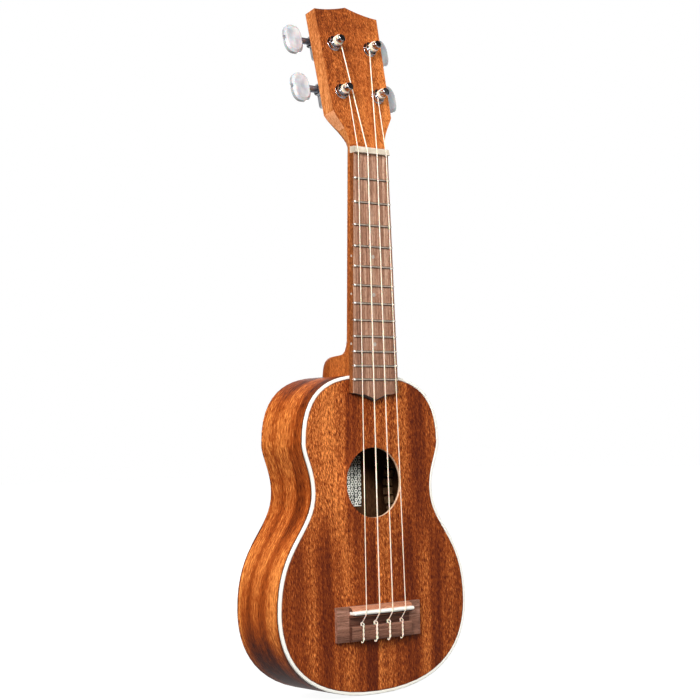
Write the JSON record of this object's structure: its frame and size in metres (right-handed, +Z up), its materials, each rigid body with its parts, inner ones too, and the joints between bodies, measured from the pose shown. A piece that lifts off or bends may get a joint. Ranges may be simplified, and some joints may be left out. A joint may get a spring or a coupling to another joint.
{
  "type": "soprano ukulele",
  "caption": "Soprano ukulele: figure-eight wooden body with a round sound hole, fretted neck, tilted head and geared tuning machines that turn.",
  "frame": {"origin": "on the centre line in the plane of the soundboard's face, at the nut's front edge, where a hanger's yoke holds the neck under the head", "axes": "+Z up the neck towards the head, +Y from front to back, +X to the right seen from the front"},
  "size_m": [0.184, 0.0647, 0.5295],
  "materials": {
    "mahogany_top": "satin, ribbon-striped mahogany with a thin open-pore lacquer",
    "mahogany_side": "satin mahogany",
    "neck_wood": "satin mahogany, lighter and straight-grained",
    "inner_wood": "raw, unfinished",
    "brace_wood": "raw spruce",
    "fretboard_wood": "oiled, open-grained greyish brown",
    "bridge_wood": "oiled, open-grained greyish brown",
    "binding_cream": "cream-white, semi-gloss",
    "fret_nickel": "polished nickel silver",
    "dot_pearl": "off-white",
    "bone_white": "ivory white, satin",
    "nylon_string": "milky white, slightly translucent",
    "chrome_hardware": "bright chrome",
    "gear_brass": "machined",
    "button_pearl": "pearly white, glossy",
    "label_paper": "plain off-white paper"
  },
  "bodies": {
    "instrument": {"soundboard": "mahogany_top", "back_plate": "mahogany_side", "rib_bass": "mahogany_side", "rib_treble": "mahogany_side", "binding": "binding_cream", "neck_block": "inner_wood", "tail_block": "inner_wood", "lining_front": "inner_wood", "lining_back": "inner_wood", "cross_braces_front": "brace_wood", "fan_braces": "brace_wood", "bridge_plate": "inner_wood", "cross_braces_back": "brace_wood", "paper_label": "label_paper", "neck": "neck_wood", "headstock": "neck_wood", "neck_dowels": "inner_wood", "fretboard": "fretboard_wood", "frets": "fret_nickel", "position_dots": "dot_pearl", "nut": "bone_white", "bridge": "bridge_wood", "saddle": "bone_white", "string_g": "nylon_string", "string_c": "nylon_string", "string_e": "nylon_string", "string_a": "nylon_string", "tuner_housing_g": "chrome_hardware", "tuner_housing_c": "chrome_hardware", "tuner_housing_e": "chrome_hardware", "tuner_housing_a": "chrome_hardware", "tuner_base_plates": "chrome_hardware", "tuner_bushings": "chrome_hardware", "tuner_washers": "chrome_hardware", "tuner_screws": "chrome_hardware"},
    "winding_post_g": {"post_g": "chrome_hardware", "worm_wheel_g": "gear_brass", "string_coil_g": "nylon_string"},
    "button_and_worm_g": {"worm_shaft_g": "chrome_hardware", "tuner_button_g": "button_pearl", "button_screw_g": "chrome_hardware"},
    "winding_post_c": {"post_c": "chrome_hardware", "worm_wheel_c": "gear_brass", "string_coil_c": "nylon_string"},
    "button_and_worm_c": {"worm_shaft_c": "chrome_hardware", "tuner_button_c": "button_pearl", "button_screw_c": "chrome_hardware"},
    "winding_post_e": {"post_e": "chrome_hardware", "worm_wheel_e": "gear_brass", "string_coil_e": "nylon_string"},
    "button_and_worm_e": {"worm_shaft_e": "chrome_hardware", "tuner_button_e": "button_pearl", "button_screw_e": "chrome_hardware"},
    "winding_post_a": {"post_a": "chrome_hardware", "worm_wheel_a": "gear_brass", "string_coil_a": "nylon_string"},
    "button_and_worm_a": {"worm_shaft_a": "chrome_hardware", "tuner_button_a": "button_pearl", "button_screw_a": "chrome_hardware"}
  },
  "joints": [
    {"name": "button_turn_g", "type": "hinge", "parent": "instrument", "child": "button_and_worm_g", "pos_m": [-0.018, 0.02619, 0.05219], "axis": [1, 0, 0], "continuous": true},
    {"name": "post_turn_g", "type": "hinge", "parent": "instrument", "child": "winding_post_g", "pos_m": [-0.018, 0.00798, 0.04848], "axis": [0, 0.977, -0.213], "continuous": true},
    {"name": "button_turn_c", "type": "hinge", "parent": "instrument", "child": "button_and_worm_c", "pos_m": [-0.018, 0.03465, 0.09097], "axis": [1, 0, 0], "continuous": true},
    {"name": "post_turn_c", "type": "hinge", "parent": "instrument", "child": "winding_post_c", "pos_m": [-0.018, 0.01644, 0.08727], "axis": [0, 0.977, -0.213], "continuous": true},
    {"name": "button_turn_e", "type": "hinge", "parent": "instrument", "child": "button_and_worm_e", "pos_m": [0.018, 0.03465, 0.09097], "axis": [1, 0, 0], "continuous": true},
    {"name": "post_turn_e", "type": "hinge", "parent": "instrument", "child": "winding_post_e", "pos_m": [0.018, 0.01644, 0.08727], "axis": [0, 0.977, -0.213], "continuous": true},
    {"name": "button_turn_a", "type": "hinge", "parent": "instrument", "child": "button_and_worm_a", "pos_m": [0.018, 0.02619, 0.05219], "axis": [1, 0, 0], "continuous": true},
    {"name": "post_turn_a", "type": "hinge", "parent": "instrument", "child": "winding_post_a", "pos_m": [0.018, 0.00798, 0.04848], "axis": [0, 0.977, -0.213], "continuous": true}
  ],
  "couplings": [
    {"joint": "post_turn_g", "follows": "button_turn_g", "ratio": 0.071429},
    {"joint": "post_turn_c", "follows": "button_turn_c", "ratio": 0.071429},
    {"joint": "post_turn_e", "follows": "button_turn_e", "ratio": -0.071429},
    {"joint": "post_turn_a", "follows": "button_turn_a", "ratio": -0.071429}
  ]
}
